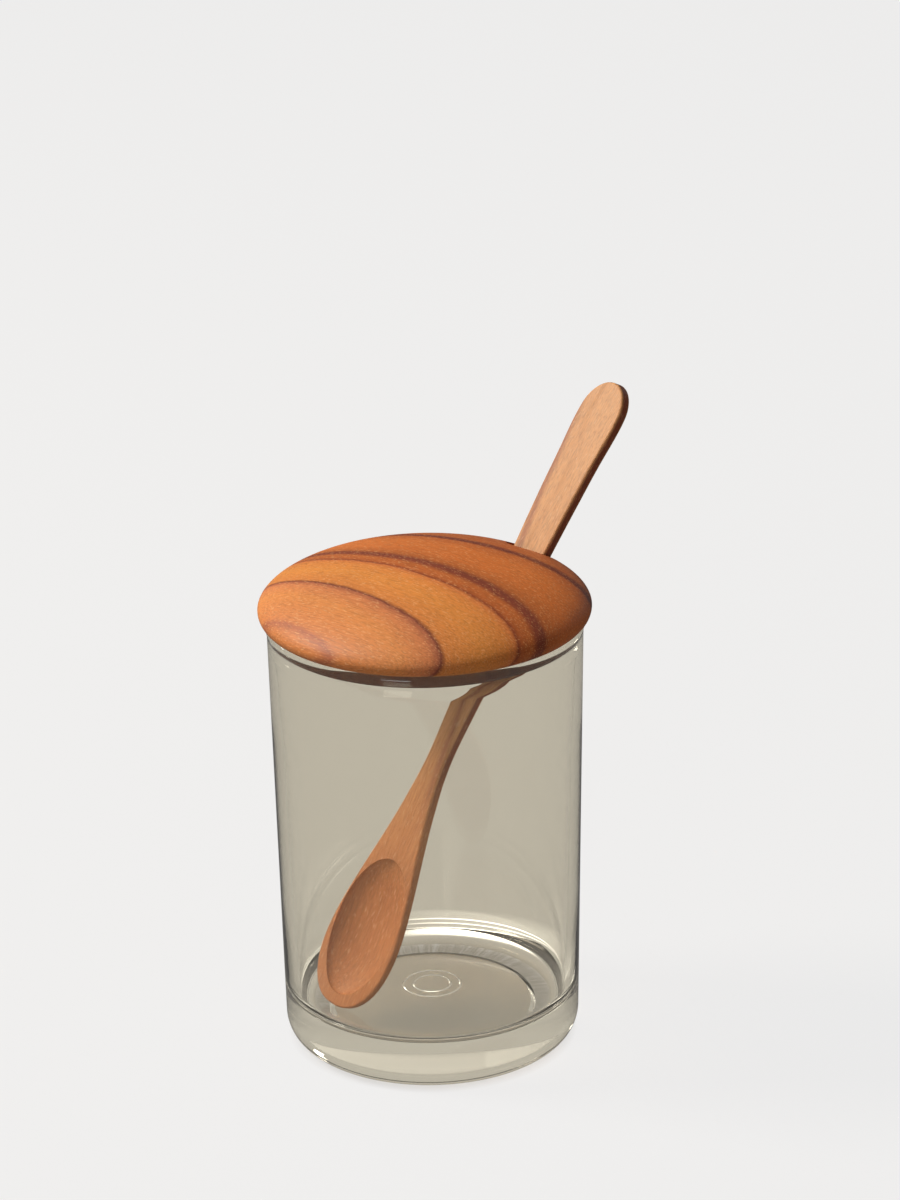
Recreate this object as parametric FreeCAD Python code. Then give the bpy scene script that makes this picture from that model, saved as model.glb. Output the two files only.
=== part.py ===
"""Glass condiment jar with a domed wooden lid and a wooden spoon that leans out through a slot in the lid."""

import FreeCAD, Part

import math
import os

# All lengths are millimetres. Z is up; the origin is the centre of the face that the jar stands on.

# Jar, outside
jarHeight = 104.0
rimRadius = 36.0  # outer wall where it meets the top
footRadius = 34.1  # the same wall carried down to the standing face
footEdgeWidth = 5.0  # rounded outer edge of the foot
footEdgeHeight = 6.0

# Jar, inside
floorHeight = 11.0
floorEdgeRadius = 4.0
wallAtRim = 2.2
wallAtFoot = 3.0

# Jar, fire-polished rim: a bead that thickens the wall inwards and swells it a little outwards
beadInside = 1.1
beadOutside = 0.2
beadRadius = 1.6
beadFadeInside = 5.2
beadFadeOutside = 2.0

# Jar, floor: a plain raised double ring mark
markRadii = (7.0, 4.6)
markWidth = 0.6
markHeight = 0.15

# Jar, underside: a flat standing ring round a shallow recess
standWidth = 4.5
recessDepth = 0.8
recessSlope = 1.2

# Lid
lidOverhang = 1.7  # past the swell of the rim
lidEdgeHeight = 2.4  # from the seat on the rim up to the widest line
lidEdgeInset = 2.2
domeHeight = 10.9
domePower = 1.79  # 2 is an ellipse, less is flatter on the flanks
plugDepth = 3.45
plugClearance = 0.3  # to the bead, all round
plugChamfer = 0.5

# Spoon, lying flat: s runs from the tip of the bowl to the end of the handle
spoonLength = 157.3
spoonThickness = 3.2
tipThickness = 1.8
spoonEdgeRound = 0.5
bowlHalfWidth = 10.1
bowlWidestAt = 15.0
bowlTipPower = 2.3
neckHalfWidth = 2.6
neckAt = 66.0
handleHalfWidth = 5.6
handleTaper = 0.9  # 1 widens evenly from the neck, less widens sooner
handleEndRound = 8.0
bendStart = 60.0
bendRadius = 520.0

# Spoon, bowl
hollowHalfWidth = 8.9
hollowHalfLength = 16.8
hollowDepth = 3.6
hollowAt = 19.6
bowlWall = 2.2  # wood left under the deepest point
backInset = 1.0  # the rounded back starts this far inside the outline

# Spoon, where it stands
tipInset = 1.8  # from the spoon's line to the edge of the jar's flat floor
tipAzimuth = 207.1  # degrees from +X
handleInset = 5.27919  # from the handle's face to the bead, level with the rim
slotAzimuth = 40.6
spoonTwist = 15.5  # degrees about its own length
spoonFloorGap = 0.2
slotClearance = 0.6
slotTurn = 28.0  # degrees from the handle's face to the slot's long sides
slotShift = 0.2  # to the left, seen from the side of the hollow

origin = FreeCAD.Vector(0, 0, 0)
axisZ = FreeCAD.Vector(0, 0, 1)


def point(x, z):
    return FreeCAD.Vector(x, 0, z)


def line(a, b):
    return Part.makeLine(a, b)


def ellipseEdge(centreX, centreZ, radiusX, radiusZ, startDeg, endDeg):
    """Elliptical stretch of a profile in the XZ plane, as a curve through points of the formula."""
    steps = 12
    points = []
    for i in range(steps + 1):
        angle = math.radians(startDeg + (endDeg - startDeg) * i / steps)
        points.append(point(centreX + radiusX * math.cos(angle), centreZ + radiusZ * math.sin(angle)))
    curve = Part.BSplineCurve()
    curve.interpolate(points)
    return curve.toShape()


def circleEdge(a, middle, b):
    return Part.Arc(a, middle, b).toShape()


def revolve(edges):
    return Part.Face(Part.Wire(edges)).revolve(origin, axisZ, 360)


def outerWall(z):
    return footRadius + (rimRadius - footRadius) * z / jarHeight


def innerWall(z):
    return outerWall(z) - wallAtFoot - (wallAtRim - wallAtFoot) * z / jarHeight


def beadInnerRadius():
    return rimRadius - wallAtRim - beadInside


def floorRadius():
    """Radius of the flat part of the jar's floor."""
    return innerWall(floorHeight + floorEdgeRadius) - floorEdgeRadius


def lidRadius():
    return rimRadius + beadOutside + lidOverhang


def makeJar():
    standOuter = footRadius - footEdgeWidth
    recessRadius = standOuter - standWidth
    flatRadius = recessRadius - recessSlope
    beadHeight = jarHeight - beadRadius
    beadOuter = rimRadius + beadOutside
    fadeOut = beadHeight - beadFadeOutside
    fadeIn = beadHeight - beadFadeInside
    edgeTop = floorHeight + floorEdgeRadius
    cornerHalf = floorEdgeRadius * math.sqrt(0.5)

    outer = [
        ellipseEdge(standOuter, footEdgeHeight, outerWall(footEdgeHeight) - standOuter, footEdgeHeight, -90, 0),
        line(point(outerWall(footEdgeHeight), footEdgeHeight), point(outerWall(fadeOut), fadeOut)),
        circleEdge(
            point(outerWall(fadeOut), fadeOut),
            point(outerWall(fadeOut) + 0.25 * (beadOuter - outerWall(fadeOut)), fadeOut + 0.5 * beadFadeOutside),
            point(beadOuter, beadHeight),
        ),
        ellipseEdge(beadOuter - beadRadius, beadHeight, beadRadius, beadRadius, 0, 90),
        line(point(beadOuter - beadRadius, jarHeight), point(beadInnerRadius() + beadRadius, jarHeight)),
        ellipseEdge(beadInnerRadius() + beadRadius, beadHeight, beadRadius, beadRadius, 90, 180),
    ]
    inner = [
        circleEdge(
            point(beadInnerRadius(), beadHeight),
            point(innerWall(fadeIn) - 0.25 * (innerWall(fadeIn) - beadInnerRadius()), fadeIn + 0.5 * beadFadeInside),
            point(innerWall(fadeIn), fadeIn),
        ),
        line(point(innerWall(fadeIn), fadeIn), point(innerWall(edgeTop), edgeTop)),
        circleEdge(
            point(innerWall(edgeTop), edgeTop),
            point(floorRadius() + cornerHalf, edgeTop - cornerHalf),
            point(floorRadius(), floorHeight),
        ),
    ]
    start = floorRadius()
    for radius in markRadii:
        corners = [
            point(start, floorHeight),
            point(radius, floorHeight),
            point(radius - 0.25 * markWidth, floorHeight + markHeight),
            point(radius - 0.75 * markWidth, floorHeight + markHeight),
            point(radius - markWidth, floorHeight),
        ]
        inner += [line(a, b) for a, b in zip(corners[:-1], corners[1:])]
        start = radius - markWidth
    inner.append(line(point(start, floorHeight), point(0, floorHeight)))
    under = [
        line(point(0, floorHeight), point(0, recessDepth)),
        line(point(0, recessDepth), point(flatRadius, recessDepth)),
        line(point(flatRadius, recessDepth), point(recessRadius, 0)),
        line(point(recessRadius, 0), point(standOuter, 0)),
    ]
    return revolve(outer + inner + under)


def domeProfile():
    """The lid's top from its widest line to the centre."""
    widest = jarHeight + lidEdgeHeight
    steps = 24
    points = []
    for i in range(steps + 1):
        angle = 0.5 * math.pi * i / steps
        radius = lidRadius() * max(math.cos(angle), 0.0) ** (2 / domePower)
        height = widest + domeHeight * math.sin(angle) ** (2 / domePower)
        points.append(point(radius, height))
    curve = Part.BSplineCurve()
    curve.interpolate(points)
    return curve.toShape()


def makeLidBlank():
    plugRadius = beadInnerRadius() - plugClearance
    plugFoot = jarHeight - plugDepth
    top = point(0, jarHeight + lidEdgeHeight + domeHeight)
    seatRadius = lidRadius() - lidEdgeInset
    corners = [
        top,
        point(0, plugFoot),
        point(plugRadius - plugChamfer, plugFoot),
        point(plugRadius, plugFoot + plugChamfer),
        point(plugRadius, jarHeight),
        point(seatRadius, jarHeight),
    ]
    edges = [domeProfile()]
    edges += [line(a, b) for a, b in zip(corners[:-1], corners[1:])]
    edges.append(ellipseEdge(seatRadius, jarHeight + lidEdgeHeight, lidEdgeInset, lidEdgeHeight, -90, 0))
    return revolve(edges)


def halfWidth(s):
    """Half the spoon's width at s, for the stretch between its two rounded ends."""
    if s < bowlWidestAt:
        return bowlHalfWidth * (1 - (1 - s / bowlWidestAt) ** bowlTipPower) ** (1 / bowlTipPower)
    if s < neckAt:
        share = ((s - bowlWidestAt) / (neckAt - bowlWidestAt)) ** 0.85
        return neckHalfWidth + (bowlHalfWidth - neckHalfWidth) * 0.5 * (1 + math.cos(math.pi * share))
    share = (s - neckAt) / (spoonLength - handleEndRound - neckAt)
    width = neckHalfWidth + (handleHalfWidth - neckHalfWidth) * min(share, 1) ** handleTaper
    over = max(s - spoonLength + handleEndRound, 0) / handleEndRound
    return width * math.sqrt(max(1 - over * over, 0))


def outlineStations():
    """Places along the spoon, close together at both rounded ends."""
    tip = [bowlWidestAt * (1 - math.cos(0.5 * math.pi * i / 6)) for i in range(7)]
    last = spoonLength - handleEndRound
    run = [bowlWidestAt + (last - bowlWidestAt) * i / 14 for i in range(1, 15)]
    end = [last + handleEndRound * math.sin(0.5 * math.pi * i / 5) for i in range(1, 6)]
    return tip + run + end


def spoonOutline():
    """One closed curve, up the right side and down the left, cut into a few smooth spans."""
    stations = outlineStations()
    points = [FreeCAD.Vector(halfWidth(s), s, 0) for s in stations]
    points += [FreeCAD.Vector(-halfWidth(s), s, 0) for s in stations[-2:0:-1]]
    curve = Part.BSplineCurve()
    curve.interpolate(Points=points, PeriodicFlag=True)
    spans = 8
    first = curve.FirstParameter
    step = (curve.LastParameter - first) / spans
    return Part.Wire([curve.toShape(first + i * step, first + (i + 1) * step) for i in range(spans)])


def bendDrop(s):
    """How far the face has bent back at s."""
    return bendRadius - math.sqrt(bendRadius**2 - max(s - bendStart, 0) ** 2)


def spoonSideProfile(margin):
    """Closed side view: a flat bowl end, and a handle that bends gently back."""
    def at(s, z):
        return FreeCAD.Vector(0, s, z)

    far = spoonLength + margin
    middle = 0.5 * (bendStart + far)
    backRadius = bendRadius - spoonThickness

    def backOf(s):
        return -bendRadius + math.sqrt(backRadius**2 - (s - bendStart) ** 2)

    edges = [
        line(at(-margin, 0), at(bendStart, 0)),
        Part.Arc(at(bendStart, 0), at(middle, -bendDrop(middle)), at(far, -bendDrop(far))).toShape(),
        line(at(far, -bendDrop(far)), at(far, backOf(far))),
        Part.Arc(at(far, backOf(far)), at(middle, backOf(middle)), at(bendStart, -spoonThickness)).toShape(),
        line(at(bendStart, -spoonThickness), at(neckAt - bowlWidestAt, -spoonThickness)),
        line(at(neckAt - bowlWidestAt, -spoonThickness), at(-margin, -tipThickness)),
        line(at(-margin, -tipThickness), at(-margin, 0)),
    ]
    return Part.Face(Part.Wire(edges))


def ellipsoid(halfX, halfY, halfZ, centre):
    scale = FreeCAD.Matrix()
    scale.scale(halfX, halfY, halfZ)
    ball = Part.makeSphere(1).transformGeometry(scale)
    ball.translate(centre)
    return ball


def makeFlatSpoon():
    """The spoon in its own frame: X across, Y from the tip to the handle's end, Z out of the hollow."""
    margin = 5.0
    depth = 40.0
    plan = Part.Face(spoonOutline())
    plan.translate(FreeCAD.Vector(0, 0, -0.5 * depth))
    blank = plan.extrude(FreeCAD.Vector(0, 0, depth))
    side = spoonSideProfile(margin)
    side.translate(FreeCAD.Vector(-0.5 * depth, 0, 0))
    blank = blank.common(side.extrude(FreeCAD.Vector(depth, 0, 0))).Solids[0]
    rims = [edge for edge in blank.Edges if edge.Length > 1.2 * spoonThickness]  # not the seams across it
    blank = blank.makeFillet(spoonEdgeRound, rims)

    backCentre = FreeCAD.Vector(0, hollowAt, -tipThickness)
    back = ellipsoid(
        bowlHalfWidth - backInset,
        hollowHalfLength + backInset,
        hollowDepth + bowlWall - tipThickness,
        backCentre,
    )
    lower = Part.makeBox(depth, depth, depth, FreeCAD.Vector(-0.5 * depth, hollowAt - 0.5 * depth, -depth))
    lower.translate(FreeCAD.Vector(0, 0, -0.5 * tipThickness))
    back = back.common(lower)
    hollow = ellipsoid(hollowHalfWidth, hollowHalfLength, hollowDepth, FreeCAD.Vector(0, hollowAt, 0))
    return blank.Solids[0].fuse(back).cut(hollow)


def aroundAxis(radius, degrees, z):
    angle = math.radians(degrees)
    return FreeCAD.Vector(radius * math.cos(angle), radius * math.sin(angle), z)


def tipOnFloor():
    return aroundAxis(floorRadius() - tipInset, tipAzimuth, floorHeight)


def spoonAxes():
    """Unit vectors across the spoon, along it from the floor to the slot, and out of its face."""
    twist = math.radians(spoonTwist)
    atBead = aroundAxis(beadInnerRadius(), slotAzimuth, jarHeight)
    slotInset = handleInset + bendDrop((atBead - tipOnFloor()).Length)
    along = (aroundAxis(beadInnerRadius() - slotInset, slotAzimuth, jarHeight) - tipOnFloor()).normalize()
    level = along.cross(axisZ).normalize()
    facing = level.cross(along)
    across = level * math.cos(twist) - facing * math.sin(twist)
    return across, along, facing * math.cos(twist) + level * math.sin(twist)


def leaning(tip):
    """Matrix that carries the flat spoon to its place, its tip at the given point."""
    across, along, facing = spoonAxes()
    return FreeCAD.Matrix(
        across.x, along.x, facing.x, tip.x,
        across.y, along.y, facing.y, tip.y,
        across.z, along.z, facing.z, tip.z,
        0, 0, 0, 1,
    )


def spoonPlace(flatSpoon):
    """The spoon's matrix, with its tip just above the jar's floor."""
    turned = flatSpoon.transformed(leaning(origin))
    lowest = turned.optimalBoundingBox(False, False).ZMin
    return leaning(tipOnFloor() + axisZ * (spoonFloorGap - lowest))


def makeSlot(place):
    """The lid's slot: it follows the handle's lean, and the handle stands a little askew and loose in it."""
    lidMiddle = jarHeight + 0.5 * (lidEdgeHeight + domeHeight - plugDepth)
    s = (lidMiddle - place.A34) / place.A32
    turn = math.radians(slotTurn)
    halfThick = 0.5 * spoonThickness
    halfAcross = handleHalfWidth * math.cos(turn) + halfThick * math.sin(turn) + slotClearance
    halfDeep = halfWidth(s) * math.sin(turn) + halfThick * math.cos(turn) + slotClearance
    straight = halfAcross - halfDeep
    reach = 60.0
    a = FreeCAD.Vector(-straight, 0, halfDeep)
    b = FreeCAD.Vector(straight, 0, halfDeep)
    c = FreeCAD.Vector(straight, 0, -halfDeep)
    d = FreeCAD.Vector(-straight, 0, -halfDeep)
    section = Part.Wire([
        line(a, b),
        Part.Arc(b, FreeCAD.Vector(halfAcross, 0, 0), c).toShape(),
        line(c, d),
        Part.Arc(d, FreeCAD.Vector(-halfAcross, 0, 0), a).toShape(),
    ])
    slot = Part.Face(section).extrude(FreeCAD.Vector(0, reach, 0))
    slot.translate(FreeCAD.Vector(-slotShift, -0.5 * reach, 0))
    slot.rotate(origin, FreeCAD.Vector(0, 1, 0), slotTurn)
    slot.rotate(origin, FreeCAD.Vector(1, 0, 0), -math.degrees(math.asin((s - bendStart) / bendRadius)))
    slot.translate(FreeCAD.Vector(0, s, -bendDrop(s) - halfThick))
    return slot.transformed(place)


def main():
    os.makedirs("parts", exist_ok=True)
    flatSpoon = makeFlatSpoon()
    place = spoonPlace(flatSpoon)
    pieces = {
        "jar": makeJar(),
        "lid": makeLidBlank().cut(makeSlot(place)),
        "spoon": flatSpoon.transformed(place),
    }
    for name, shape in pieces.items():
        solid = shape.Solids[0]
        print(name, "solids", len(shape.Solids), "valid", shape.isValid(), "cm3 %.2f" % (solid.Volume / 1000))
        solid.exportStep("parts/" + name + ".step")


main()
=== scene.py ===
import math

import bpy
from mathutils import Matrix, Vector


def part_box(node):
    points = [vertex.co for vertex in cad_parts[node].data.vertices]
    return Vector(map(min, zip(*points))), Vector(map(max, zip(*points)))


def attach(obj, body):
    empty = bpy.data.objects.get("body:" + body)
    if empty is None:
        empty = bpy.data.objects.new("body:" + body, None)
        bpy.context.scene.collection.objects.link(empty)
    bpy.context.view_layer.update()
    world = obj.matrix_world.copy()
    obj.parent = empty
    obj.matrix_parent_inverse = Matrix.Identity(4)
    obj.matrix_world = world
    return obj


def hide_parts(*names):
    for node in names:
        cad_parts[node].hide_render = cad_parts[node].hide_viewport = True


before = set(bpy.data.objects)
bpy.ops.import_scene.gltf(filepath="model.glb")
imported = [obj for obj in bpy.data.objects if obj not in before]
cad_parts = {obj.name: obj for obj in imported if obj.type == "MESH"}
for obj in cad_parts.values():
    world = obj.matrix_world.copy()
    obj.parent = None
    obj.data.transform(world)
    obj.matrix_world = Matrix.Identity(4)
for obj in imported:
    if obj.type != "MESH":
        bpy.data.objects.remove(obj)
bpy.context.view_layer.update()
mm = 0.001


class Link:  # a node's output; arithmetic on it adds Math nodes
    def __init__(self, sheet, socket):
        self.sheet = sheet
        self.socket = socket

    def maths(self, operation, *values):
        return self.sheet.node("ShaderNodeMath", {"operation": operation}, dict(enumerate(values)))

    def __add__(self, other):
        return self.maths("ADD", self, other)

    def __radd__(self, other):
        return self.maths("ADD", other, self)

    def __sub__(self, other):
        return self.maths("SUBTRACT", self, other)

    def __rsub__(self, other):
        return self.maths("SUBTRACT", other, self)

    def __mul__(self, other):
        return self.maths("MULTIPLY", self, other)

    def __rmul__(self, other):
        return self.maths("MULTIPLY", other, self)

    def __truediv__(self, other):
        return self.maths("DIVIDE", self, other)


class Sheet:  # one node tree, filled a node at a time
    def __init__(self, tree):
        self.tree = tree
        tree.nodes.clear()

    def node(self, kind, settings=None, sockets=None, output=0):
        made = self.tree.nodes.new(kind)
        for name, value in (settings or {}).items():
            if name == "stops":
                setStops(made.color_ramp, value)
            else:
                setattr(made, name, value)
        for name, value in (sockets or {}).items():
            self.feed(made.inputs[name], value)
        return Link(self, made.outputs[output])

    def feed(self, socket, value):
        if isinstance(value, Link):
            self.tree.links.new(value.socket, socket)
        else:
            socket.default_value = value

    def mixColour(self, share, first, second, blend="MIX"):
        # a colour Mix node has its factor at 0, its colours at 6 and 7 and its result at 2
        settings = {"data_type": "RGBA", "blend_type": blend}
        return self.node("ShaderNodeMix", settings, {0: share, 6: first, 7: second}, 2)

    def ramp(self, value, stops):
        return self.node("ShaderNodeValToRGB", {"stops": stops}, {"Fac": value})


def setStops(colorRamp, stops):
    for _ in stops[2:]:  # a new ramp has two already
        colorRamp.elements.new(0.5)
    for element, (position, colour) in zip(colorRamp.elements, stops):
        element.position = position
        element.color = colour if isinstance(colour, tuple) else (colour, colour, colour, 1)


def tone(code):
    # a six-digit colour code as the linear colour that a socket takes
    parts = [int(code[i:i + 2], 16) / 255 for i in (0, 2, 4)]
    return tuple(p / 12.92 if p <= 0.04045 else ((p + 0.055) / 1.055) ** 2.4 for p in parts) + (1.0,)


def newFinish(name):
    material = bpy.data.materials.new(name)
    material.use_nodes = True
    return material, Sheet(material.node_tree)


glassJar = {
    "footRadius": 34.1 * mm,
    "rimRadius": 36.0 * mm,
    "footEdgeWidth": 5.0 * mm,
    "footEdgeHeight": 6.0 * mm,
    "floorHeight": 11.0 * mm,
    "floorEdgeRadius": 4.0 * mm,
    "wallAtFoot": 3.0 * mm,
    "wallAtRim": 2.2 * mm,
    "beadInside": 1.1 * mm,
    "beadOutside": 0.2 * mm,
    "beadRadius": 1.6 * mm,
    "beadFadeInside": 5.2 * mm,
    "beadFadeOutside": 2.0 * mm,
    "standWidth": 4.5 * mm,
    "recessDepth": 0.8 * mm,
    "recessSlope": 1.2 * mm,
    "markRadii": (7.0 * mm, 4.6 * mm),  # a plain double ring raised on the floor inside
    "markWidth": 0.6 * mm,
    "markSlope": 0.25,  # the part of the width that each side takes
    "markHeight": 0.15 * mm,
    "wallRows": 4,
    "turns": 256,
    "weldDistance": 0.002 * mm,
    "smoothAngle": 20,
    "bend": 1.5,
    "outerTint": (0.59, 0.545, 0.435, 1),
    "shadowTint": (0.5, 0.43, 0.36, 1),
}


def spot(radius, height):
    return Vector((radius, 0, height))


def bow(centreX, centreZ, radiusX, radiusZ, startDeg, endDeg, steps=10):
    # part of an ellipse, both ends included
    angles = [math.radians(startDeg + (endDeg - startDeg) * i / steps) for i in range(steps + 1)]
    return [spot(centreX + radiusX * math.cos(a), centreZ + radiusZ * math.sin(a)) for a in angles]


def swell(start, end, steps=8):
    # an S from one radius to another, level with the wall at both ends
    points = []
    for i in range(1, steps + 1):
        share = i / steps
        ease = share * share * (3 - 2 * share)
        points.append(spot(start.x + (end.x - start.x) * ease, start.z + (end.z - start.z) * share))
    return points


def spinPiece(name, profile, g):
    # one vertex is extruded along the profile and the line is spun about the jar's axis
    bpy.ops.object.select_all(action="DESELECT")
    bpy.ops.mesh.primitive_plane_add(size=mm, location=profile[0])
    piece = bpy.context.object
    piece.name = piece.data.name = name
    bpy.ops.object.mode_set(mode="EDIT")
    bpy.ops.mesh.merge(type="CENTER")
    for start, end in zip(profile[:-1], profile[1:]):
        bpy.ops.mesh.extrude_region_move(TRANSFORM_OT_translate={"value": end - start})
    bpy.ops.mesh.select_all(action="SELECT")
    bpy.ops.mesh.spin(steps=g["turns"], angle=2 * math.pi, center=(0, 0, 0), axis=(0, 0, 1))
    bpy.ops.mesh.select_all(action="SELECT")
    bpy.ops.mesh.remove_doubles(threshold=g["weldDistance"])
    bpy.ops.mesh.normals_make_consistent(inside=False)
    bpy.ops.object.mode_set(mode="OBJECT")
    bpy.ops.object.transform_apply(location=True, rotation=True, scale=True)
    bpy.ops.object.shade_smooth_by_angle(angle=math.radians(g["smoothAngle"]))
    return piece


def outerRadius(g, z, height):
    return g["footRadius"] + (g["rimRadius"] - g["footRadius"]) * z / height


def jarProfile(g, height):
    # from the middle of the underside, round the rim, to the middle of the floor
    def outer(z):
        return outerRadius(g, z, height)

    def inner(z):
        return outer(z) - g["wallAtFoot"] - (g["wallAtRim"] - g["wallAtFoot"]) * z / height

    standOuter = g["footRadius"] - g["footEdgeWidth"]
    recess = standOuter - g["standWidth"]
    beadZ = height - g["beadRadius"]
    beadOuter = g["rimRadius"] + g["beadOutside"]
    beadInner = g["rimRadius"] - g["wallAtRim"] - g["beadInside"]
    fadeOut = beadZ - g["beadFadeOutside"]
    fadeIn = beadZ - g["beadFadeInside"]
    edgeTop = g["floorHeight"] + g["floorEdgeRadius"]
    floorRadius = inner(edgeTop) - g["floorEdgeRadius"]

    under = [spot(0, g["recessDepth"])]
    under.append(spot(recess - g["recessSlope"], g["recessDepth"]))
    under.append(spot(recess, 0))
    footReach = outer(g["footEdgeHeight"]) - standOuter
    footEdge = bow(standOuter, g["footEdgeHeight"], footReach, g["footEdgeHeight"], -90, 0, steps=16)
    rows = g["wallRows"]
    wallOutside = [spot(outer(fadeOut * i / rows), fadeOut * i / rows) for i in range(1, rows + 1)]
    beadOutside = swell(wallOutside[-1], spot(beadOuter, beadZ))
    rimOutside = bow(beadOuter - g["beadRadius"], beadZ, g["beadRadius"], g["beadRadius"], 0, 90)[1:]
    rimInside = bow(beadInner + g["beadRadius"], beadZ, g["beadRadius"], g["beadRadius"], 90, 180)
    beadInside = swell(spot(beadInner, beadZ), spot(inner(fadeIn), fadeIn), steps=12)
    drop = fadeIn - edgeTop
    wallInside = [spot(inner(fadeIn - drop * i / rows), fadeIn - drop * i / rows) for i in range(1, rows + 1)]
    floorEdge = bow(floorRadius, edgeTop, g["floorEdgeRadius"], g["floorEdgeRadius"], 0, -90, steps=12)[1:]
    markTop = g["floorHeight"] + g["markHeight"]
    floor = []
    for radius in g["markRadii"]:
        floor.append(spot(radius, g["floorHeight"]))
        floor.append(spot(radius - g["markSlope"] * g["markWidth"], markTop))
        floor.append(spot(radius - (1 - g["markSlope"]) * g["markWidth"], markTop))
        floor.append(spot(radius - g["markWidth"], g["floorHeight"]))
    floor.append(spot(0, g["floorHeight"]))
    outside = under + footEdge + wallOutside + beadOutside + rimOutside
    inside = rimInside + beadInside + wallInside + floorEdge + floor
    return outside + inside


def finishWith(sheet, shader, kind="ShaderNodeOutputMaterial"):
    end = sheet.tree.nodes.new(kind)
    sheet.feed(end.inputs["Surface"], shader)


def glassFinish(name, tint, shadowTint, bend):
    material, sheet = newFinish(name)
    glass = sheet.node("ShaderNodeBsdfPrincipled", None, {
        "Base Color": tint,
        "Roughness": 0.0,
        "IOR": bend,
        "Transmission Weight": 1.0,
    })
    clear = sheet.node("ShaderNodeBsdfTransparent", None, {"Color": shadowTint})
    shadowRay = sheet.node("ShaderNodeLightPath", output="Is Shadow Ray")
    # lamps shine through the wall, so that what stands inside is lit
    both = sheet.node("ShaderNodeMixShader", None, {0: shadowRay, 1: glass, 2: clear})
    finishWith(sheet, both)
    return material


def makeJar():
    g = glassJar
    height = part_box("jar")[1][2]
    jar = spinPiece("jarGlass", jarProfile(g, height), g)
    jar.data.materials.append(glassFinish("tintedGlass", g["outerTint"], g["shadowTint"], g["bend"]))
    jar.data.materials.append(glassFinish("clearGlass", (1, 1, 1, 1), (1, 1, 1, 1), g["bend"]))
    midWall = 0.5 * (g["wallAtRim"] + g["wallAtFoot"])
    for face in jar.data.polygons:
        radius = math.hypot(face.center.x, face.center.y)
        wallRadius = outerRadius(g, face.center.z, height)
        inside = face.center.z > 0.5 * g["floorHeight"] and radius < wallRadius - 0.5 * midWall
        face.material_index = 1 if inside else 0
    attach(jar, "root")
    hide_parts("jar")
    print("jar: spun,", len(jar.data.polygons), "faces")


def grainPlace(sheet, turn, centre):
    place = sheet.node("ShaderNodeTexCoord", output="Object")
    return sheet.node("ShaderNodeMapping", {"vector_type": "TEXTURE"}, {
        "Vector": place, "Location": centre, "Rotation": turn,
    })


def parts(sheet, vector):
    split = sheet.node("ShaderNodeSeparateXYZ", None, {0: vector}).socket.node
    return [Link(sheet, split.outputs[i]) for i in range(3)]


def grain(sheet, place, facts):
    # noise, with how often it changes per metre in each of the grain's directions
    drawn = sheet.node("ShaderNodeVectorMath", {"operation": "MULTIPLY"}, {0: place, 1: facts["perMetre"]})
    return sheet.node("ShaderNodeTexNoise", None, {
        "Vector": drawn, "Scale": 1.0, "Detail": facts["detail"], "Roughness": facts.get("roughness", 0.5),
    })


def between(sheet, value, start, end):
    # 0 below the start, 1 above the end
    return sheet.node("ShaderNodeMapRange", {"clamp": True}, {
        "Value": value, 1: start, 2: end, 3: 0.0, 4: 1.0,
    })


oiledWood = {"roughness": 0.5, "fibreRoughness": 0.15, "bend": 1.45}


def woodShader(sheet, colour, fibre, height, relief):
    bump = sheet.node("ShaderNodeBump", None, {
        "Strength": relief["strength"], "Distance": relief["distance"], "Height": height,
    })
    return sheet.node("ShaderNodeBsdfPrincipled", None, {
        "Base Color": colour,
        "Roughness": oiledWood["roughness"] + oiledWood["fibreRoughness"] * fibre,
        "Normal": bump,
        "IOR": oiledWood["bend"],
    })


def dress(name, material):
    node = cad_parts[name]
    node.data.materials.clear()
    node.data.materials.append(material)
    print(name + ": dressed")


lidLook = {
    "grainTurn": -40,  # degrees from +X, the way the fibres run
    "grainCentre": (0, 0, 115 * mm),
    "slant": 0.068,  # how the layers lean against the fibres
    "tilt": 0.26,
    "fanOut": 6800,
    "dip": 8500,
    "drift": {"perMetre": (30, 90, 60), "detail": 3.0, "reach": 1.6},
    "ragged": {"perMetre": (260, 900, 900), "detail": 2.0, "reach": 0.5},
    "figure": [  # where each tone lies across the grain, in mm
        (-46, "c87d45"), (-36, "c87a42"), (-34.6, "a86040"), (-33.6, "c87a42"), (-26, "cf8345"),
        (-21.6, "c67848"), (-20.1, "a05a3c"), (-19.7, "6a3020"), (-19.0, "c87a3a"), (-13, "d0843c"),
        (-8.6, "cc7d3a"), (-7.0, "c4713a"), (-6.5, "863e20"), (-5.6, "ac5a28"), (-3.4, "b4622c"),
        (-2.2, "853e26"), (-0.8, "7c3a26"), (0.6, "b0602b"), (5, "c86e30"), (12, "ca7030"),
        (17.6, "b8622c"), (18.9, "743424"), (20.4, "7c3a26"), (22, "b4602c"), (46, "ac5a2c"),
    ],
    "cloud": {"perMetre": (25, 60, 60), "detail": 2.0},
    "cloudShades": [(0.3, 0.93), (0.7, 1.07)],
    "fibre": {"perMetre": (300, 3000, 3000), "detail": 3.0, "roughness": 0.6},
    "fibreShades": [(0.32, 0.76), (0.5, 1.0), (0.68, 1.12)],
    "fleck": {"perMetre": (900, 3000, 3000), "detail": 1.0},
    "paleFleck": {"from": [(0.58, 0.0), (0.68, 1.0)], "share": 0.34, "tone": "e9b27a"},
    "plugTop": 104 * mm,  # below this the plug, in the shade under the dome, is painted darker than the dome: painted shade
    "plugShadeFade": 0.3 * mm,
    "plugShadeShare": 0.9,
    "plugShadeTone": "45190a",
    "relief": {"strength": 0.3, "distance": 0.12 * mm, "fleck": 0.5},
}


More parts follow.
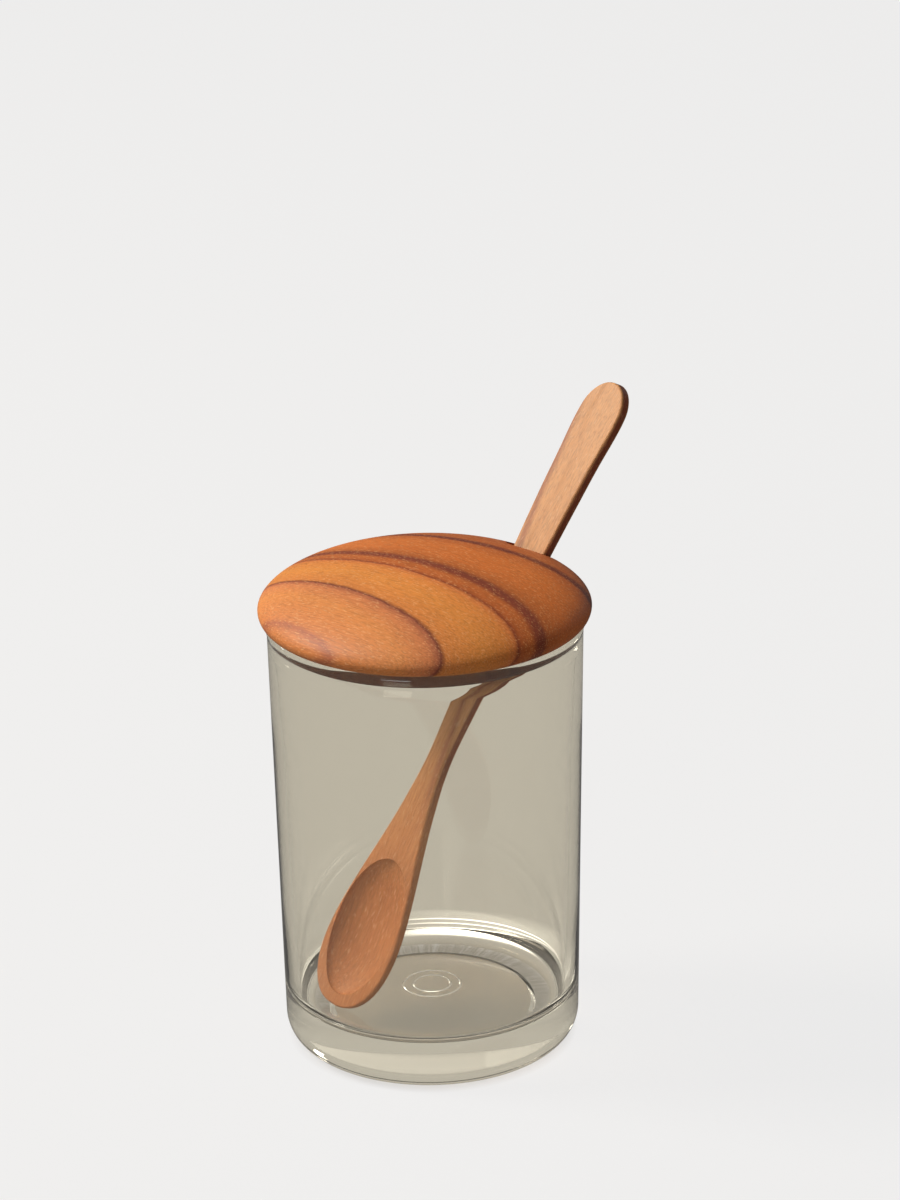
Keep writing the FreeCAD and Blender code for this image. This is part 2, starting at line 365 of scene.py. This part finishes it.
def lidFinish():
    look = lidLook
    material, sheet = newFinish("oiledLidWood")
    place = grainPlace(sheet, (0, 0, math.radians(look["grainTurn"])), look["grainCentre"])
    along, across, up = parts(sheet, place)
    # growth layers: they fan out and dip along the fibres, which makes the arches on the dome
    layer = across / mm - look["slant"] * along / mm - look["tilt"] * up / mm
    layer = layer - look["fanOut"] * across * along - look["dip"] * up * along
    drift = grain(sheet, place, look["drift"])
    ragged = grain(sheet, place, look["ragged"])
    layer = layer + look["drift"]["reach"] * (drift - 0.5) + look["ragged"]["reach"] * (ragged - 0.5)
    low, high = look["figure"][0][0], look["figure"][-1][0]
    stops = [((q - low) / (high - low), tone(code)) for q, code in look["figure"]]
    figure = sheet.ramp((layer - low) / (high - low), stops)
    cloud = sheet.ramp(grain(sheet, place, look["cloud"]), look["cloudShades"])
    colour = sheet.mixColour(1.0, figure, cloud, "MULTIPLY")
    fibre = grain(sheet, place, look["fibre"])
    colour = sheet.mixColour(1.0, colour, sheet.ramp(fibre, look["fibreShades"]), "MULTIPLY")
    pale = look["paleFleck"]
    fleck = sheet.ramp(grain(sheet, place, look["fleck"]), pale["from"])
    colour = sheet.mixColour(pale["share"] * fleck, colour, tone(pale["tone"]))
    # painted shade: the plug, in the shade under the dome, is painted a much darker brown
    plugTop = look["plugTop"] - look["grainCentre"][2]
    plug = 1 - between(sheet, up, plugTop - look["plugShadeFade"], plugTop + look["plugShadeFade"])
    colour = sheet.mixColour(look["plugShadeShare"] * plug, colour, tone(look["plugShadeTone"]))
    height = fibre + look["relief"]["fleck"] * fleck
    finishWith(sheet, woodShader(sheet, colour, fibre, height, look["relief"]))
    return material


spoonLook = {
    "tip": (-22.869 * mm, -11.703 * mm, 12.064 * mm),
    "lean": 28.449,
    "azimuth": 33.765,
    "twist": 15.5,
    "bendStart": 60 * mm,
    "bendRadius": 520 * mm,
    "handleStart": (42 * mm, 62 * mm),  # from the tip
    # painted shade: the bowl and lower neck, deep in the jar under the lid, take a darker brown
    "bowlShadeFade": (30 * mm, 72 * mm),
    "streak": {"perMetre": (420, 9, 300), "detail": 3.0, "roughness": 0.55},
    "faceTones": [(0.3, "bd8653"), (0.45, "c89263"), (0.6, "cd9868"), (0.75, "c28b5a")],
    "bowlShadeShare": 0.75,
    "bowlShadeTone": "a9683f",
    # painted shade in the bowl's hollow, weaker towards its lit side
    "hollowDepth": (0.5 * mm, 2.6 * mm),
    "hollowShadeEnd": (30 * mm, 37 * mm),
    "hollowLitSide": (-1.5 * mm, 4.5 * mm),  # across the bowl, towards its lit right side, where the painted shade weakens
    "hollowLitLoss": 0.7,
    "hollowShadeShare": 0.8,
    "hollowShadeTone": "a4683f",
    "swirl": {"perMetre": (260, 45, 700), "detail": 3.0, "roughness": 0.6},
    "swirlShades": [(0.35, 0.25), (0.6, 1.0)],
    "lineStart": 1.6,  # mm left of the middle, at lineFrom mm from the tip
    "lineFrom": 100,
    "lineSlope": 0.085,
    "lineFade": (0.1, 1.3),
    "lineShare": 0.6,
    "lineTone": "86493a",
    "wander": {"perMetre": (0, 30, 0), "detail": 2.0, "reach": 1.2},
    "sideShadeTop": (0.3 * mm, 0.9 * mm),  # below the face: the band of painted shade on the handle's sides
    "sideShadeBottom": (2.4 * mm, 3.0 * mm),
    "sideShadeTone": "8a4420",
    "fibre": {"perMetre": (3200, 160, 3200), "detail": 2.0, "roughness": 0.6},
    "fibreShades": [(0.32, 0.8), (0.5, 1.0), (0.68, 1.1)],
    "fleck": {"perMetre": (3000, 520, 3000), "detail": 1.0},
    "darkFleck": {"from": [(0.62, 0.0), (0.7, 1.0)], "share": 0.35, "tone": "98603f"},
    "paleFleck": {"from": [(0.28, 1.0), (0.38, 0.0)], "share": 0.3, "tone": "e6bf9b"},
    "relief": {"strength": 0.2, "distance": 0.1 * mm},
}


def spoonTurn(look):
    # columns: across the spoon, along it, out of its face
    lean, azimuth, twist = (math.radians(look[k]) for k in ("lean", "azimuth", "twist"))
    along = Vector((math.sin(lean) * math.cos(azimuth), math.sin(lean) * math.sin(azimuth), math.cos(lean)))
    level = Vector((math.sin(azimuth), -math.cos(azimuth), 0))
    facing = level.cross(along)
    across = level * math.cos(twist) - facing * math.sin(twist)
    out = facing * math.cos(twist) + level * math.sin(twist)
    return Matrix((across, along, out)).transposed().to_euler()


def spoonFinish():
    look = spoonLook
    material, sheet = newFinish("oiledSpoonWood")
    place = grainPlace(sheet, spoonTurn(look), look["tip"])
    across, along, out = parts(sheet, place)
    pastBend = sheet.node("ShaderNodeMath", {"operation": "MAXIMUM"}, {0: along - look["bendStart"], 1: 0.0})
    depth = 0.0 - out - pastBend * pastBend / (2 * look["bendRadius"])  # below the face, bend and all
    handle = between(sheet, along, *look["handleStart"])
    # painted shade: the bowl and lower neck, inside the jar under the lid, are painted a darker brown
    bowl = 1 - between(sheet, along, *look["bowlShadeFade"])
    streak = grain(sheet, place, look["streak"])
    face = sheet.ramp(streak, [(position, tone(code)) for position, code in look["faceTones"]])
    colour = sheet.mixColour(look["bowlShadeShare"] * bowl, face, tone(look["bowlShadeTone"]))
    swirl = sheet.ramp(grain(sheet, place, look["swirl"]), look["swirlShades"])
    # painted shade in the hollow of the bowl, broken up by swirl noise and weaker towards its lit right side
    hollow = between(sheet, depth, *look["hollowDepth"]) * (1 - between(sheet, along, *look["hollowShadeEnd"]))
    hollow = hollow * (1 - look["hollowLitLoss"] * between(sheet, across, *look["hollowLitSide"]))
    colour = sheet.mixColour(look["hollowShadeShare"] * hollow * swirl, colour, tone(look["hollowShadeTone"]))
    # a purple-brown growth line down the left edge of the handle
    wander = look["wander"]["reach"] * (grain(sheet, place, look["wander"]) - 0.5)
    lineAt = look["lineStart"] + look["lineSlope"] * (along / mm - look["lineFrom"])
    offLine = sheet.node("ShaderNodeMath", {"operation": "ABSOLUTE"}, {0: across / mm + lineAt + wander})
    line = (1 - between(sheet, offLine, *look["lineFade"])) * handle
    colour = sheet.mixColour(look["lineShare"] * line, colour, tone(look["lineTone"]))
    # painted shade: the sides of the handle are painted a dark reddish brown
    side = between(sheet, depth, *look["sideShadeTop"]) * (1 - between(sheet, depth, *look["sideShadeBottom"])) * handle
    colour = sheet.mixColour(side, colour, tone(look["sideShadeTone"]))
    fibre = grain(sheet, place, look["fibre"])
    colour = sheet.mixColour(1.0, colour, sheet.ramp(fibre, look["fibreShades"]), "MULTIPLY")
    fleck = grain(sheet, place, look["fleck"])
    for kind in (look["darkFleck"], look["paleFleck"]):
        colour = sheet.mixColour(kind["share"] * sheet.ramp(fleck, kind["from"]), colour, tone(kind["tone"]))
    finishWith(sheet, woodShader(sheet, colour, fibre, fibre, look["relief"]))
    return material


studio = {
    "pale": 0.863,  # the backdrop, as the camera sees it
    "floorPale": 0.945,
    "floorColour": (0.36, 0.33, 0.3, 1),
    "floorSize": 12.0,
    "paleShare": 0.86,  # how much of the floor's own shading is covered
    "shareUnderJar": 0.4,
    "footFade": (27 * mm, 34 * mm),  # from one share to the other
    "ringUnit": 100 * mm,
    "rings": [  # radius in ring units, brightness
        (0.335, 0.0), (0.347, 1.0), (0.355, 0.9), (0.366, 0.08), (0.395, 0.05), (0.403, 0.7), (0.409, 0.08),
        (0.44, 0.05), (0.45, 0.8), (0.458, 0.08), (0.5, 0.07), (0.56, 0.07), (0.62, 0.0),
    ],
    "ringsTowards": (0.62, 0.785),
    "ringsSpread": (0.6, 0.98),  # cosines of the angles from that way: where they end, where they are full
    "ringStrength": 9.0,
    "mirrored": 0.16,  # how bright the room is in reflections
    "ambient": (0.19, 0.14, 0.105, 1),
    "key": {"place": (-1.0, 0.1, 1.13), "size": 0.4, "power": 25.0, "colour": (1.0, 0.97, 0.9)},
    "fill": {"place": (-0.5, -1.3, 0.5), "size": 0.5, "power": 2.6, "colour": (1.0, 1.0, 1.0)},
    "glintRight": {"place": (0.75, 0.9, 0.35), "size": 0.12, "power": 0.4, "colour": (1.0, 1.0, 1.0)},
    "glintLeft": {"place": (-0.9, 0.5, 0.3), "size": 0.08, "power": 0.16, "colour": (1.0, 1.0, 1.0)},
    "aim": (0, 0, 0.07),
}

lens = {
    "length": 90,
    "sensorHeight": 24,
    "distance": 1.0185,
    "pitch": 21.96,
    "roll": -1.013,
    "aim": (0.00576, 0, 0.10753),
}


def seenPlainly(sheet):
    # rays from the camera or through glass, then the mirrored ones
    camera, glossy, through = (
        sheet.node("ShaderNodeLightPath", output=name)
        for name in ("Is Camera Ray", "Is Glossy Ray", "Is Transmission Ray")
    )
    mirrored = glossy * (1 - through)
    direct = sheet.node("ShaderNodeMath", {"operation": "MAXIMUM"}, {0: camera, 1: through})
    return direct, mirrored


def makeFloor():
    s = studio
    bpy.ops.object.select_all(action="DESELECT")
    bpy.ops.mesh.primitive_plane_add(size=s["floorSize"])
    floor = bpy.context.object
    floor.name = "floor"
    material, sheet = newFinish("paleFloor")
    direct, mirrored = seenPlainly(sheet)
    place = sheet.node("ShaderNodeTexCoord", output="Object")
    radius = sheet.node("ShaderNodeVectorMath", {"operation": "LENGTH"}, {0: place}, 1)
    outside = between(sheet, radius, *s["footFade"])
    share = s["shareUnderJar"] + (s["paleShare"] - s["shareUnderJar"]) * outside
    matt = sheet.node("ShaderNodeBsdfDiffuse", None, {"Color": s["floorColour"]})
    # bright rings, seen only through the glass, stand in for the light that it gathers behind it
    x, y = parts(sheet, place)[:2]
    towards = (x * s["ringsTowards"][0] + y * s["ringsTowards"][1]) / radius
    rings = sheet.ramp(radius / s["ringUnit"], s["rings"]) * between(sheet, towards, *s["ringsSpread"])
    throughGlass = sheet.node("ShaderNodeLightPath", output="Is Transmission Ray")
    strength = (direct + s["mirrored"] * mirrored) * (1 + s["ringStrength"] * rings * throughGlass)
    floorPale = (s["floorPale"],) * 3 + (1,)
    pale = sheet.node("ShaderNodeEmission", None, {"Color": floorPale, "Strength": strength})
    seen = sheet.node("ShaderNodeMath", {"operation": "MAXIMUM"}, {0: direct, 1: mirrored})
    both = sheet.node("ShaderNodeMixShader", None, {0: share * seen, 1: matt, 2: pale})
    finishWith(sheet, both)
    floor.data.materials.append(material)


def makeWorld():
    s = studio
    world = bpy.data.worlds.new("paleRoom")
    bpy.context.scene.world = world
    world.use_nodes = True
    sheet = Sheet(world.node_tree)
    direct, mirrored = seenPlainly(sheet)
    grey = sheet.node("ShaderNodeBackground", None, {"Color": s["ambient"], "Strength": 1.0})
    pale = sheet.node("ShaderNodeBackground", None, {
        "Color": (s["pale"],) * 3 + (1,), "Strength": direct + s["mirrored"] * mirrored,
    })
    seen = sheet.node("ShaderNodeMath", {"operation": "MAXIMUM"}, {0: direct, 1: mirrored})
    both = sheet.node("ShaderNodeMixShader", None, {0: seen, 1: grey, 2: pale})
    finishWith(sheet, both, "ShaderNodeOutputWorld")


def makeLamp(name, facts):
    lamp = bpy.data.lights.new(name, "AREA")
    lamp.size = facts["size"]
    lamp.energy = facts["power"]
    lamp.color = facts["colour"]
    holder = bpy.data.objects.new(name, lamp)
    bpy.context.collection.objects.link(holder)
    holder.location = facts["place"]
    holder.rotation_euler = (Vector(studio["aim"]) - holder.location).to_track_quat("-Z", "Y").to_euler()


def makeCamera():
    camera = bpy.data.cameras.new("camera")
    camera.sensor_fit = "VERTICAL"
    camera.sensor_height = lens["sensorHeight"]
    camera.lens = lens["length"]
    holder = bpy.data.objects.new("camera", camera)
    bpy.context.collection.objects.link(holder)
    pitch = math.radians(lens["pitch"])
    tilt = Matrix.Rotation(0.5 * math.pi - pitch, 4, "X")
    roll = Matrix.Rotation(math.radians(lens["roll"]), 4, "Z")
    back = Vector((0, -math.cos(pitch), math.sin(pitch))) * lens["distance"]
    holder.matrix_world = Matrix.Translation(Vector(lens["aim"]) + back) @ tilt @ roll
    bpy.context.scene.camera = holder


makeJar()
dress("lid", lidFinish())
dress("spoon", spoonFinish())
makeFloor()
makeWorld()
makeLamp("keyLamp", studio["key"])
makeLamp("fillLamp", studio["fill"])
makeLamp("glintRight", studio["glintRight"])
makeLamp("glintLeft", studio["glintLeft"])
makeCamera()
bpy.context.scene.view_settings.view_transform = "Standard"
print("studio: lit")
